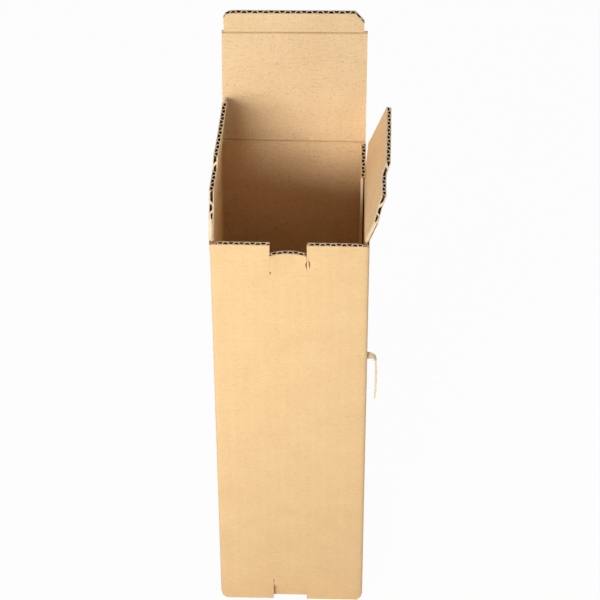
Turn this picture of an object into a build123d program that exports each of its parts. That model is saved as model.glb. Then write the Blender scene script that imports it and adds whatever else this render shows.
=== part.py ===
from build123d import *
from math import cos, radians, sin
import os

os.makedirs("parts", exist_ok=True)

# A tall square shipping box, folded from a single die-cut blank of corrugated board.
# Frame: +X to the right, +Y to the back, +Z up, origin in the middle of the base. Millimetres.

# The board: single wall, B flute, flutes running up every wall
board = 3.0
liner = 0.5
flute_pitch = 6.4
flute_web = 0.75
flute_reach = 10.0
curved_flute_reach = 4.5

# The tube of four walls
width = 95.0
depth = 95.0
height = 330.0
fold_radius = 2.2

# The lid and the tuck flap at its end
lid_gap_left = 2.3
lid_gap_right = 0.5
lid_short = 5.0
lid_lift = 1.0
lid_tilt = 2.7
tuck_length = 14.5
tuck_inset_left = 1.0
tuck_inset_right = 2.0
tuck_corner_radius = 6.0
tuck_clip_width = 5.5
tuck_clip_height = 8.5
tuck_bend = 8.0
crease_clear = 0.2
crease_slack = 0.5
crease_open = 0.5

# The dust flaps: a long high edge at the back, a step, a lower edge and a clipped front corner
flap_height = 37.6
flap_back_relief = 6.7
flap_back_taper = 2.3
flap_low_height = 30.5
flap_step_from_front = 26.7
flap_step_run = 3.5
flap_low_end_from_front = 8.7
flap_clip_run = 2.5
flap_clip_drop = 7.5
flap_shoulder_height = 15.5
flap_front_relief = 5.3
right_flap_lean = 18.5
left_flap_back_shift = 1.8
left_flap_front_shift = -1.5

# The glue flap inside the right back corner, and the corner that has sprung away from it
glue_flap_width = 31.0
glue_flap_drop = 0.8
sprung_length = 20.0
sprung_height = 22.0
sprung_gap = 1.4

# The thumb notch in the front wall, at the top and again at the bottom
notch_offset = -0.9
notch_width = 22.2
notch_depth = 9.0
slit_end = 21.0
slit_width = 0.35
tab_bow = 2.4
bottom_notch_depth = 13.5
bottom_slit_end = 20.0

# The closed bottom
bottom_lid_gap = 1.0
bottom_tuck_height = 24.0
bottom_tuck_inset = 1.5
front_corner_cut = 3.5

# The torn strip that hangs from the right wall
strip_from_front = 4.5
strip_width = 2.4
strip_thickness = 1.2
strip_root_z = 233.5
strip_root_run = 1.2
strip_bend_radius = 4.2
strip_drop = 38.6

half_w = width / 2
half_d = depth / 2
in_w = half_w - board
in_d = half_d - board
hinge_z = height + lid_lift + board
lid_length = depth - lid_short
fold_z = hinge_z + lid_length
lid_left = -in_w + lid_gap_left
lid_right = in_w - lid_gap_right
notch_left = notch_offset - notch_width / 2
notch_right = notch_offset + notch_width / 2
liner_gap = liner + crease_clear
crease_start = liner + crease_open

# Outline of a dust flap as (distance behind the middle, distance above the crease)
flap_back = half_d - flap_back_relief
flap_front = -half_d + flap_front_relief
flap_tip = flap_back - flap_back_taper
flap_step = flap_front + flap_step_from_front
flap_low_end = flap_front + flap_low_end_from_front
flap_outline = [
    (flap_back, 0.0),
    (flap_tip, flap_height),
    (flap_step + flap_step_run, flap_height),
    (flap_step, flap_low_height),
    (flap_low_end, flap_low_height),
    (flap_low_end - flap_clip_run, flap_low_height - flap_clip_drop),
    (flap_front, flap_shoulder_height),
    (flap_front, 0.0),
]
flap_edges = [
    (flap_tip, flap_step + flap_step_run, flap_height),
    (flap_step, flap_low_end, flap_low_height),
]


def block(x0, x1, y0, y1, z0, z1):
    """A plain block of board between two corners."""
    size = (x1 - x0, y1 - y0, z1 - z0)
    middle = ((x0 + x1) / 2, (y0 + y1) / 2, (z0 + z1) / 2)
    return Pos(*middle) * Box(*size)


def flute_ends(start, end, along, across, into, reach=flute_reach):
    """Open flute ends along a cut edge: triangles that point up and down in turn.

    start and end are the edge's two ends on the mid-line of the board, across is the direction
    through the board and into is the direction of the flutes.
    """
    start = Vector(*start)
    along = Vector(*along).normalized()
    across = Vector(*across).normalized()
    span = (Vector(*end) - start).length
    step = flute_pitch / 2
    count = int((span - 2 * liner) // step)
    first = (span - (count - 1) * step) / 2
    half_base = step - flute_web
    half_rise = board / 2 - liner
    if count < 1:
        return []
    cuts = []
    for i in range(count):
        side = 1 if i % 2 else -1
        corners = [(-half_base, side), (half_base, side), (0.0, -side)]
        if i in (0, count - 1):
            corners = [(-half_base / 2, side), (half_base / 2, side), (0.0, -side)]
        points = []
        for along_by, across_by in corners:
            p = start + along * (first + i * step + along_by) + across * (across_by * half_rise)
            points.append(p)
        mouth = make_face(Polyline(*points, close=True))
        mouth = mouth.moved(Location(Vector(*into).normalized() * -1.0))
        cuts.append(extrude(mouth, amount=reach + 1.0, dir=Vector(*into).normalized()))
    return cuts


# The tube: three folded corners are round, the glued one keeps the cut edge of the right wall
plan = Rectangle(width, depth)
folded = [v for v in plan.vertices() if not (v.X > 0 and v.Y > 0)]
plan = fillet(folded, fold_radius)
plan -= Rectangle(2 * in_w, 2 * in_d)
body = extrude(plan, height)

# The back wall folds into the glue flap, so its own corner is round and leaves a groove there
groove = Pos(in_w - fold_radius / 2, half_d - fold_radius / 2) * Rectangle(fold_radius, fold_radius)
groove -= Pos(in_w - fold_radius, half_d - fold_radius) * Circle(fold_radius)
body -= extrude(groove, height)

# Only the front wall reaches the table: the other three end at their bottom creases
body -= block(-half_w, half_w, -in_d, half_d, 0, board)
corner_cut = Pos(half_w, 0, 0) * Rot(0, 45, 0) * Box(
    front_corner_cut * 2**0.5, 2 * depth, front_corner_cut * 2**0.5
)
body -= [corner_cut, mirror(corner_cut, Plane.YZ)]

# Glue flap
glue_front = in_d - glue_flap_width
glue_top = height - glue_flap_drop
body += block(in_w - board, in_w, glue_front, in_d, 2 * board, glue_top)

# The free back corner of the right wall has sprung out of the glue at the top
spring_front = half_d - sprung_length
spring_z = height - sprung_height
body -= block(in_w, half_w, spring_front, half_d, spring_z, height)
straight = [(in_w, spring_front), (half_w, spring_front), (half_w, half_d), (in_w, half_d)]
sprung = straight[:2] + [(half_w + sprung_gap, half_d), (in_w + sprung_gap, half_d)]
lower = make_face(Polyline(*[(x, y, spring_z) for x, y in straight], close=True))
upper = make_face(Polyline(*[(x, y, height) for x, y in sprung], close=True))
body += loft([lower, upper], ruled=True)

# Thumb notch at the top: the tab between its two slits is pushed in
tab_top = height - notch_depth
tab_root = height - slit_end
body -= block(notch_left, notch_right, -half_d, -in_d, tab_root, height)
tab_left = notch_left + slit_width
tab_right = notch_right - slit_width
tab_mid = (tab_left + tab_right) / 2
tab_flat = make_face(
    Polyline(
        (tab_left, -half_d, tab_root), (tab_right, -half_d, tab_root),
        (tab_right, -in_d, tab_root), (tab_left, -in_d, tab_root), close=True,
    )
)
tab_bowed = make_face(
    [
        ThreePointArc(
            (tab_left, -half_d, tab_top), (tab_mid, -half_d + tab_bow, tab_top), (tab_right, -half_d, tab_top)
        ),
        Line((tab_right, -half_d, tab_top), (tab_right, -in_d, tab_top)),
        ThreePointArc(
            (tab_right, -in_d, tab_top), (tab_mid, -in_d + tab_bow, tab_top), (tab_left, -in_d, tab_top)
        ),
        Line((tab_left, -in_d, tab_top), (tab_left, -half_d, tab_top)),
    ]
)
body += loft([tab_flat, tab_bowed], ruled=True)

# The bottom: lid panel from the back wall, folded up behind the front wall, and two dust flaps above it
skirt = [
    (half_d, 2 * board), (half_d, 0), (-in_d, 0), (-in_d, bottom_tuck_height),
    (-in_d + board, bottom_tuck_height), (-in_d + board, board), (in_d, board), (in_d, 2 * board),
]
side_view = make_face(Polyline(*[(0, y, z) for y, z in skirt], close=True))
outer_folds = [v for v in side_view.vertices() if v.Z < 0.1]
side_view = fillet(outer_folds, board)
bottom = extrude(side_view, in_w - bottom_lid_gap, dir=(1, 0, 0), both=True)
tuck_sides = block(
    in_w - bottom_lid_gap - bottom_tuck_inset, in_w, -in_d, -in_d + board, 2 * board, height
)
bottom -= [tuck_sides, mirror(tuck_sides, Plane.YZ)]
bottom_flap = make_face(Polyline(*[(half_w - s, y, board) for y, s in flap_outline], close=True))
bottom_flap = extrude(bottom_flap, board, dir=(0, 0, 1))
fold_edge = block(half_w - fold_radius, half_w, -half_d, half_d, board, board + fold_radius)
fold_round = Rot(90, 0, 0) * Cylinder(fold_radius, 2 * depth)
fold_edge -= Pos(half_w - fold_radius, 0, board + fold_radius) * fold_round
fold_edge &= block(-half_w, half_w, -in_d, half_d, 0, height)
body += [bottom_flap, mirror(bottom_flap, Plane.YZ)]
body -= [fold_edge, mirror(fold_edge, Plane.YZ)]
body += bottom

# The same notch at the bottom of the front wall, where the tucked bottom flap shows behind it
body -= block(notch_left, notch_right, -half_d, -in_d, 0, bottom_notch_depth)
for x in (notch_left, notch_right - slit_width):
    body -= block(x, x + slit_width, -half_d, -in_d, bottom_notch_depth, bottom_slit_end)

# Right dust flap: a flat board, leaning out from its crease
sheet = make_face(Polyline(*[(in_w, y, height + s) for y, s in flap_outline], close=True))
right_flap = extrude(sheet, board, dir=(1, 0, 0))
for back, front, rise in flap_edges:
    right_flap -= flute_ends(
        (in_w + board / 2, back, height + rise), (in_w + board / 2, front, height + rise),
        (0, -1, 0), (1, 0, 0), (0, 0, -1),
    )
right_flap = right_flap.rotate(Axis((in_w, 0, height), (0, 1, 0)), right_flap_lean)
body += right_flap

# Left dust flap: stands nearly upright and is twisted, its back end in and its front end out
root = [(-half_w, flap_front), (-in_w, flap_front), (-in_w, flap_back), (-half_w, flap_back)]
shift = [left_flap_front_shift, left_flap_front_shift, left_flap_back_shift, left_flap_back_shift]
tips = [(x + dx, y) for (x, y), dx in zip(root, shift)]
low = make_face(Polyline(*[(x, y, height) for x, y in root], close=True))
high = make_face(Polyline(*[(x, y, height + flap_height) for x, y in tips], close=True))
left_flap = loft([low, high], ruled=True)
keep = make_face(Polyline(*[(-width, y, height + s) for y, s in flap_outline], close=True))
left_flap &= extrude(keep, width, dir=(1, 0, 0))
for back, front, rise in flap_edges:
    ends = []
    for y in (back, front):
        part_way = (flap_back - y) / (flap_back - flap_front)
        lean = left_flap_back_shift + part_way * (left_flap_front_shift - left_flap_back_shift)
        ends.append((-in_w - board / 2 + lean * rise / flap_height, y, height + rise))
    slope = (ends[0][0] + ends[1][0]) / 2 + in_w + board / 2
    run = (ends[1][0] - ends[0][0], ends[1][1] - ends[0][1], 0)
    left_flap -= flute_ends(ends[0], ends[1], run, (1, 0, 0), (-slope, 0, -rise), curved_flute_reach)
body += left_flap

# The back wall rises to the lid's crease, where only its outer liner runs on
body += block(lid_left, lid_right, in_d, half_d, height, hinge_z - board - crease_slack)
body += block(
    lid_left, lid_right, half_d - liner, half_d, hinge_z - board - crease_slack, hinge_z - liner_gap
)

# The torn strip: out of the right wall, over a bend and straight down
strip_y = -half_d + strip_from_front
strip_start = (half_w - board / 2, strip_y, strip_root_z)
strip_turn = (half_w + strip_root_run, strip_y, strip_root_z)
strip_down = (half_w + strip_root_run + strip_bend_radius, strip_y, strip_root_z - strip_bend_radius)
strip_end = (half_w + strip_root_run + strip_bend_radius, strip_y, strip_root_z - strip_drop)
strip_path = Line(strip_start, strip_turn) + TangentArc(strip_turn, strip_down, tangent=(1, 0, 0))
strip_path += Line(strip_down, strip_end)
strip_section = Plane(strip_start, x_dir=(0, 1, 0), z_dir=(1, 0, 0)) * Rectangle(strip_width, strip_thickness)
strip = sweep(strip_section, path=strip_path)
body += strip

# Open flute ends on the cut edges of the front wall, the tab and the glue flap
mid_front = -half_d + board / 2
flutes = []
for corner, z, into in ((fold_radius, height, -1), (front_corner_cut, 0, 1)):
    for x0, x1 in ((-half_w + corner, notch_left), (notch_right, half_w - corner)):
        flutes += flute_ends((x0, mid_front, z), (x1, mid_front, z), (1, 0, 0), (0, 1, 0), (0, 0, into))
flutes += flute_ends(
    (in_w - board / 2, glue_front, glue_top), (in_w - board / 2, in_d, glue_top),
    (0, 1, 0), (1, 0, 0), (0, 0, -1),
)
tab_half = (tab_right - tab_left) / 2
tab_count = int(2 * tab_half // (flute_pitch / 2))
tab_pitch = 2 * tab_half / tab_count


def bow_at(x):
    """How far the tab's top edge is pushed in, along its width."""
    return tab_bow * (1 - ((x - tab_mid) / tab_half) ** 2)


for i in range(tab_count):
    x = tab_left + (i + 0.5) * tab_pitch
    rise = (bow_at(x + tab_pitch / 2) - bow_at(x - tab_pitch / 2)) / tab_pitch
    side = 1 if i % 2 else -1
    points = []
    half_base = (tab_pitch - flute_web) / 2
    for along_by, across_by in ((-half_base, side), (half_base, side), (0, -side)):
        y = mid_front + bow_at(x) + along_by * rise + across_by * (board / 2 - liner)
        points.append((x + along_by, y, tab_top))
    mouth = make_face(Polyline(*points, close=True))
    slant = Vector(0, -bow_at(x) / (slit_end - notch_depth), -1)
    flutes.append(extrude(mouth, amount=curved_flute_reach, dir=slant.normalized()))
body -= flutes

# The lid, upright on its crease line at the outer liner, then leaned to where it stands
outer_y = half_d
lid = block(lid_left, lid_right, in_d, outer_y, hinge_z + crease_start, fold_z - board - crease_slack)
lid += block(lid_left, lid_right, outer_y - liner, outer_y, hinge_z + crease_clear / 2, fold_z - liner_gap)

# The tuck flap: one round and one clipped corner, a little narrower than the lid
tuck_left = lid_left + tuck_inset_left
tuck_right = lid_right - tuck_inset_right
tuck_top = fold_z + tuck_length
tuck = block(tuck_left, tuck_right, in_d, outer_y, fold_z + crease_start, tuck_top)
tuck += block(tuck_left, tuck_right, outer_y - liner, outer_y, fold_z + crease_clear / 2, fold_z + crease_start)
tuck = fillet(
    tuck.edges().filter_by(Axis.Y).sort_by(Axis.Z)[-2:].sort_by(Axis.X)[:1], tuck_corner_radius
)
clip_x = tuck_right - tuck_clip_width
clip_z = tuck_top - tuck_clip_height
clip = make_face(
    Polyline((clip_x, 0, tuck_top), (tuck_right, 0, tuck_top), (tuck_right, 0, clip_z), close=True)
)
tuck -= extrude(clip, width, dir=(0, 1, 0))
tuck -= flute_ends(
    (tuck_left + tuck_corner_radius, in_d + board / 2, tuck_top),
    (clip_x, in_d + board / 2, tuck_top), (1, 0, 0), (0, 1, 0), (0, 0, -1),
)

lid_axis = Axis((0, outer_y, hinge_z), (1, 0, 0))
fold_axis = Axis((0, outer_y, fold_z), (1, 0, 0))
tuck = tuck.rotate(fold_axis, tuck_bend).rotate(lid_axis, lid_tilt)
lid = lid.rotate(lid_axis, lid_tilt)

for name, solid in (("box_body", body), ("lid", lid), ("tuck_flap", tuck)):
    export_step(solid, f"parts/{name}.step")

fold_y = outer_y - lid_length * sin(radians(lid_tilt))
fold_height = hinge_z + lid_length * cos(radians(lid_tilt))
print("hinge", 0, outer_y, hinge_z)
print("fold", 0, round(fold_y, 3), round(fold_height, 3))
for name, solid in (("box_body", body), ("lid", lid), ("tuck_flap", tuck)):
    bb = solid.bounding_box()
    print(name, len(solid.solids()), "solids", round(solid.volume), "mm3", bb.min, bb.max)
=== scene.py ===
# %% [markdown]
# # A tall shipping box, folded from corrugated board
# The real box is a single die-cut blank: four walls in a row, a glue flap at one end, dust flaps,
# a lid with a tuck flap, and a closed bottom. Corrugated board is three papers, two flat liners with
# a wavy one between them, so the scene makes just that: each paper is a flat sheet, cut to the
# outline of the blank, waved if it is the middle one, and then folded up into the box.
#
# The frame comes first. It holds the solids of the box, the lid and the tuck flap at their real size
# and place, so every paper can be made where it belongs, and nothing has to be fitted afterwards.

# %% Load the frame
import math

import bmesh
import bpy
from mathutils import Matrix, Vector, noise


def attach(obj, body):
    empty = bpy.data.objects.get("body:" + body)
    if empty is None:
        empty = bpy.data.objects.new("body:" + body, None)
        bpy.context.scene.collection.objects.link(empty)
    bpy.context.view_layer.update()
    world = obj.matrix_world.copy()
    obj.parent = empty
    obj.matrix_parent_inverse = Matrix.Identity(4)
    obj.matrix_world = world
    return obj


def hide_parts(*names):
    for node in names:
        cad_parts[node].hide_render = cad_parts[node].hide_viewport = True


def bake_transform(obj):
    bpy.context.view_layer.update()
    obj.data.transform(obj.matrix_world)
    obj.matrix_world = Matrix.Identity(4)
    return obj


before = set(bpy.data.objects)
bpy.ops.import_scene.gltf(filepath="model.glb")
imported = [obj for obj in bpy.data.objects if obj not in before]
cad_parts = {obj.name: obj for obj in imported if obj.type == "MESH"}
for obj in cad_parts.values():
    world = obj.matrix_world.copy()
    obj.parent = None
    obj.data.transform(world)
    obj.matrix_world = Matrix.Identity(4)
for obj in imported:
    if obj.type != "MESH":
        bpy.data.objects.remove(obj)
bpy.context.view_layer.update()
MM = 0.001

# %% [markdown]
# ## One paper, cut flat
# A paper starts as a grid in the XZ plane: X runs around the box and Z runs up the flutes. A plane
# cut along each line of the outline lets the outline's edge go exactly where the knife went, and the
# cells outside are then deleted. This keeps an even grid inside, which can be bent later, where a
# single large polygon couldn't.

# %% Points in an outline, and faces near a line
def inside(u, v, outline):
    """Whether a point lies within a closed outline, by counting the lines that it crosses."""
    found = False
    for (u0, v0), (u1, v1) in zip(outline, outline[1:] + outline[:1]):
        if (v0 > v) != (v1 > v) and u < (u1 - u0) * (v - v0) / (v1 - v0) + u0:
            found = not found
    return found


def faces_near(sheet, low, high):
    """The faces whose own box meets the box from low to high."""
    found = []
    for face in sheet.faces:
        us = [vert.co.x for vert in face.verts]
        if min(us) > high[0] or max(us) < low[0]:
            continue
        vs = [vert.co.z for vert in face.verts]
        if min(vs) <= high[1] and max(vs) >= low[1]:
            found.append(face)
    return found


square = [(0, 0), (1, 0), (1, 1), (0, 1)]
print("a point inside a square:", inside(0.5, 0.5, square), "and one beside it:", inside(1.5, 0.5, square))

# %% Cut a sheet to an outline
ON_PLANE = 1e-4
KNIFE_REACH = 0.01


def cut_sheet(outline, column, row, creases=()):
    """A flat sheet with cells of about column by row, cut to the outline, with a row at each crease."""
    us, vs = zip(*outline)
    span_u, span_v = max(us) - min(us), max(vs) - min(vs)
    columns, rows = max(1, round(span_u / column)), max(1, round(span_v / row))
    sheet = bmesh.new()
    bmesh.ops.create_grid(sheet, x_segments=columns, y_segments=rows, size=0.5)
    stretched = Matrix.Diagonal((span_u, span_v, 1, 1))
    upright = Matrix.Rotation(math.pi / 2, 4, "X")
    middle = Matrix.Translation((min(us) + span_u / 2, 0, min(vs) + span_v / 2))
    bmesh.ops.transform(sheet, matrix=middle @ upright @ stretched, verts=sheet.verts)
    for height in creases:
        whole = sheet.verts[:] + sheet.edges[:] + sheet.faces[:]
        bmesh.ops.bisect_plane(
            sheet, geom=whole, dist=ON_PLANE, plane_co=(0, 0, height), plane_no=(0, 0, 1)
        )
    for (u0, v0), (u1, v1) in zip(outline, outline[1:] + outline[:1]):
        low = (min(u0, u1) - KNIFE_REACH, min(v0, v1) - KNIFE_REACH)
        high = (max(u0, u1) + KNIFE_REACH, max(v0, v1) + KNIFE_REACH)
        crossed = faces_near(sheet, low, high)
        edges = {edge for face in crossed for edge in face.edges}
        verts = {vert for face in crossed for vert in face.verts}
        across = Vector((v1 - v0, 0, u0 - u1)).normalized()
        bmesh.ops.bisect_plane(
            sheet, geom=[*crossed, *edges, *verts], dist=ON_PLANE, plane_co=(u0, 0, v0), plane_no=across
        )
    spare = []
    for face in sheet.faces:
        centre = face.calc_center_median()
        if not inside(centre.x, centre.z, outline):
            spare.append(face)
    bmesh.ops.delete(sheet, geom=spare, context="FACES")
    return sheet


# %% [markdown]
# ## Three papers make a board
# Depth in the board is measured inwards from its outside face. Extruding the flat sheet gives a paper
# its second side, and each side then goes to its own depth: the same all over for a liner, up and down
# with the flutes for the middle paper. The narrow faces that the extrusion makes are the cut edges,
# which take a finish of their own. Only then is every point carried to its place on the folded box. A
# Solidify modifier could make the liners, but not a paper that is thick in one place and thin in another.

# %% Give a sheet its thickness and fold it into place
BOARD, LINER, MEDIUM, PITCH = 3.0, 0.48, 0.36, 6.4
# FACE and EDGE are the faces and the cut edges. The third slot is painted shade: dark paper where the flute
# voids and pressed grooves lie in shade.
FACE, EDGE, PAINTED_SHADE = 0, 1, 2


def fold_paper(name, outline, place, sides, column, row, creases=(), flute_side=None, pressed=None):
    """An object made of one paper: cut, thickened, and every point carried by place(u, n, v).

    sides(u, v) gives the depths of its two sides. flute_side is the side that is turned to the flutes,
    0 or 1, and pressed is the lowest and highest v of a pressed line. Both take the third finish, which
    is painted shade: it stands in for the shade in the flute voids and in the pressed groove.
    """
    sheet = cut_sheet(outline, column, row, creases)
    grown = bmesh.ops.extrude_face_region(sheet, geom=sheet.faces[:])
    deeper = {item for item in grown["geom"] if isinstance(item, bmesh.types.BMVert)}
    for vert in sheet.verts:
        vert.co.y = sides(vert.co.x, vert.co.z)[vert in deeper]
    for face in sheet.faces:
        share = sum(vert in deeper for vert in face.verts) / len(face.verts)
        cut = 0 < share < 1
        # Faces turned to the flutes, and a pressed line, take painted shade: dark paper in place of the
        # shade there.
        dark = share == flute_side
        if pressed and pressed[0] < face.calc_center_median().z < pressed[1]:
            dark = True
        face.smooth = not cut
        face.material_index = EDGE if cut else PAINTED_SHADE if dark else FACE
    for edge in sheet.edges:
        edge.smooth = len({face.material_index for face in edge.link_faces}) == 1
    for vert in sheet.verts:
        vert.co = Vector(place(vert.co.x, vert.co.y, vert.co.z)) * MM
    bmesh.ops.recalc_face_normals(sheet, faces=sheet.faces)
    mesh = bpy.data.meshes.new(name)
    sheet.to_mesh(mesh)
    sheet.free()
    piece = bpy.data.objects.new(name, mesh)
    bpy.context.scene.collection.objects.link(piece)
    print(name, len(mesh.polygons), "faces")
    return piece


# %% Three papers at once
LINER_COLUMN, FLUTE_COLUMN = PITCH / 4, PITCH / 16
LINER_ROW, FLUTE_ROW = 8.0, 28.0


def flat(depth, thickness):
    """The sides of a paper that isn't waved."""
    return lambda u, v: (depth, depth + thickness)


def board(name, outline, place, wave, creases=(), flute_row=FLUTE_ROW):
    """The three papers of one stretch of board, as outer liner, inner liner and fluted paper."""
    grid = LINER_COLUMN, LINER_ROW, creases
    outer_sides, inner_sides = flat(0.0, LINER), flat(BOARD - LINER, LINER)
    outer = fold_paper(name + "_outer_liner", outline, place, outer_sides, *grid, flute_side=1)
    inner = fold_paper(name + "_inner_liner", outline, place, inner_sides, *grid, flute_side=0)
    flutes = fold_paper(name + "_flutes", outline, place, wave, FLUTE_COLUMN, flute_row, creases)
    return [outer, inner, flutes]


# %% [markdown]
# ## Folding around the corners
# At a corner the outer liner goes around in a small curve, and the inner one is pinched almost sharp.
# A path function gives both: it walks along the outside face, and at each corner it rounds the path
# with a radius that shrinks with the depth in the board. A bevel would round every paper alike.

# %% The folded path
FOLD_RADIUS, FOLD_REACH = 2.2, 5.0
RADIUS_LOSS, SHARPEST = 0.8, 0.3


def rounded_turn(corner, along, other, away, n, outer_radius):
    """A point near a turn, away from it along one wall, on the path that lies n inside the corner."""
    pinch = corner + (along + other) * n
    radius = max(outer_radius - RADIUS_LOSS * n, SHARPEST)
    bow = radius * math.pi / 4
    run = away / FOLD_REACH * (FOLD_REACH - n - radius + bow)
    if run > bow:
        return pinch + along * (radius + run - bow)
    turn = math.pi / 4 - run / radius
    centre = pinch + (along + other) * radius
    return centre - other * radius * math.cos(turn) - along * radius * math.sin(turn)


def fold_path(corners, s, n, radius=FOLD_RADIUS):
    """The point s along a path of left turns, n to the left of it, rounded at each turn."""
    walked = 0.0
    for i in range(len(corners) - 1):
        start, end = Vector(corners[i]), Vector(corners[i + 1])
        length = (end - start).length
        if s <= walked + length or i == len(corners) - 2:
            break
        walked += length
    ahead = (end - start) / length
    left = Vector((-ahead.y, ahead.x))
    here = s - walked
    if i > 0 and here < FOLD_REACH:
        before = (start - Vector(corners[i - 1])).normalized()
        return rounded_turn(start, ahead, -before, here, n, radius)
    if i < len(corners) - 2 and length - here < FOLD_REACH:
        after = (Vector(corners[i + 2]) - end).normalized()
        return rounded_turn(end, -ahead, after, length - here, n, radius)
    return start + ahead * here + left * n


bend = [fold_path([(0, 0), (20, 0), (20, 20)], 20.0, n) for n in (0.0, BOARD)]
print("middle of a fold, outside and inside:", [[round(c, 2) for c in point] for point in bend])

# %% [markdown]
# ## The outline of the blank
# The walls stand in a row: glue flap, back, left, front, right. All sizes are in millimetres, and the
# outline follows the blank's knife lines: the dust flaps with their step, the thumb notch with a slit
# at each lower corner, the same notch at the bottom, and the clipped lower corners of the front. Both
# slits are in the outline itself, as very narrow cuts, because the tab between them has to move alone.

# %% Where each wall starts on the blank
HALF, RIM, FOOT = 47.5, 330.0, 3.0
GLUE_FRONT, GLUE_X = 13.5, 44.4
PLAN = [(GLUE_X, GLUE_FRONT), (GLUE_X, HALF), (-HALF, HALF), (-HALF, -HALF), (HALF, -HALF), (HALF, HALF)]
BACK_S = HALF - GLUE_FRONT
LEFT_S = BACK_S + GLUE_X + HALF
FRONT_S = LEFT_S + 2 * HALF
RIGHT_S = FRONT_S + 2 * HALF
END_S = RIGHT_S + 2 * HALF


def on_back(x):
    return BACK_S + GLUE_X - x


def on_left(y):
    return LEFT_S + HALF - y


def on_front(x):
    return FRONT_S + HALF + x


def on_right(y):
    return RIGHT_S + HALF + y


print("blank", round(END_S, 1), "mm around")

# %% The notch with its two slits
NOTCH_LEFT, NOTCH_RIGHT, NOTCH_DEPTH, LOW_NOTCH_DEPTH = -12.0, 10.2, 9.0, 13.5
SLIT_END, LEFT_SLIT_END, LOW_SLIT_END = 21.0, 24.0, 20.0
CLOSED_SLIT, LOW_LEFT_SLIT = 0.05, 0.25
HOLE_WIDE, HOLE_TALL = 0.6, 2.0
RIGHT_TEAR = [(321.0, 0.3), (319.0, 0.12), (316.2, 0.2), (315.2, 0.85), (313.4, 0.8)]
RIGHT_TEAR += [(310.5, 0.15), (309.8, CLOSED_SLIT)]
LOW_RIGHT_TEAR = [(LOW_NOTCH_DEPTH, 0.45), (17.0, 0.3), (18.0, CLOSED_SLIT)]


def notch(left_end, right_end, edge, deep, left_gap, right_gaps):
    """The notch from left to right: down the left slit to its small hole, up to the tab, across it,
    and down and up the right slit, which gapes by right_gaps, each a height and a width."""
    out = 1 if right_end < edge else -1
    hole = left_end + HOLE_TALL * out
    cut = [(NOTCH_LEFT, edge), (NOTCH_LEFT, left_end), (NOTCH_LEFT + HOLE_WIDE, left_end)]
    cut += [(NOTCH_LEFT + HOLE_WIDE, hole), (NOTCH_LEFT + left_gap, hole), (NOTCH_LEFT + left_gap, deep)]
    cut += [(NOTCH_RIGHT - gap, v) for v, gap in right_gaps]
    cut += [(NOTCH_RIGHT - CLOSED_SLIT, right_end), (NOTCH_RIGHT, right_end), (NOTCH_RIGHT, edge)]
    return [(on_front(x), v) for x, v in cut]


top_notch = notch(RIM - LEFT_SLIT_END, RIM - SLIT_END, RIM, RIM - NOTCH_DEPTH, CLOSED_SLIT, RIGHT_TEAR)
low_notch = notch(LOW_SLIT_END, LOW_SLIT_END, 0.0, LOW_NOTCH_DEPTH, LOW_LEFT_SLIT, LOW_RIGHT_TEAR)
print("notch", round(NOTCH_RIGHT - NOTCH_LEFT, 1), "mm wide, with", len(top_notch), "corners")

# %% The whole outline
FLAP = [(40.8, 0), (38.5, 37.6), (-12, 37.6), (-15.5, 30.5)]
FLAP += [(-33.5, 30.5), (-36, 23), (-42.2, 15.5), (-42.2, 0)]
LID_ROOT, LID_LEFT, LID_RIGHT = -43.8, -42.5, 44.0
BACK_TOP = 329.7
GLUE_DROP, GLUE_RELIEF, GLUE_FOOT = 0.8, 1.0, 2 * BOARD + 0.3
LID_RELIEF, LID_STEP = 1.2, 0.6
FLAP_RELIEF, FLAP_DIP, FREE_DROP = 5.5, 0.9, 0.4
CORNER_DIP = [(4.3, 1.4), (1.2, 1.0), (-1.6, 0.0)]
CLIP, FOOT_RELIEF, FOOT_RISE = 3.5, 1.5, 0.2

top = [(0.0, RIM - GLUE_DROP), (BACK_S - GLUE_RELIEF, RIM - GLUE_DROP)]
top += [(on_back(LID_RIGHT), BACK_TOP), (on_back(LID_ROOT), BACK_TOP)]
top += [(on_back(LID_ROOT) + LID_RELIEF, RIM - LID_STEP), (LEFT_S + FLAP_RELIEF, RIM - FLAP_DIP)]
top += [(on_left(y), RIM + s) for y, s in FLAP]
top += [(FRONT_S - away, RIM - dip) for away, dip in CORNER_DIP]
top += top_notch
top += [(RIGHT_S + away, RIM - dip) for away, dip in reversed(CORNER_DIP)]
top += [(on_right(y), RIM + s) for y, s in reversed(FLAP)]
top += [(END_S - FLAP_RELIEF, RIM - FLAP_DIP), (END_S, RIM - FREE_DROP)]
foot = [(END_S, FOOT)]
foot += [(on_right(y), FOOT - s) for y, s in FLAP]
foot += [(RIGHT_S + FOOT_RELIEF, FOOT + FOOT_RISE), (RIGHT_S, CLIP), (RIGHT_S - CLIP, 0.0)]
foot += reversed(low_notch)
foot += [(FRONT_S + CLIP, 0.0), (FRONT_S, CLIP), (FRONT_S - FOOT_RELIEF, FOOT + FOOT_RISE)]
foot += [(on_left(y), FOOT - s) for y, s in reversed(FLAP)]
foot += [(LEFT_S, FOOT), (BACK_S, FOOT), (BACK_S - GLUE_RELIEF, GLUE_FOOT), (0.0, GLUE_FOOT)]
BLANK = top + foot
print("outline of the blank:", len(BLANK), "corners")

# %% [markdown]
# ## Dust flaps and folds that lean
# The side walls bend at their creases. Of the upper dust flaps the right one leans out evenly, and the
# left one is twisted, in at the back and a little out at the front. The lower ones fold flat under the
# base. A flap bends about its inner liner, so its depth and height follow a short arc over the crease
# and a straight line after it. A single turn about the crease would leave a sharp kink in the board.

# %% Soft steps
def ramp(value, low, high):
    """0 up to low, 1 from high on, and even between them."""
    return min(1.0, max(0.0, (value - low) / (high - low)))


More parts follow.
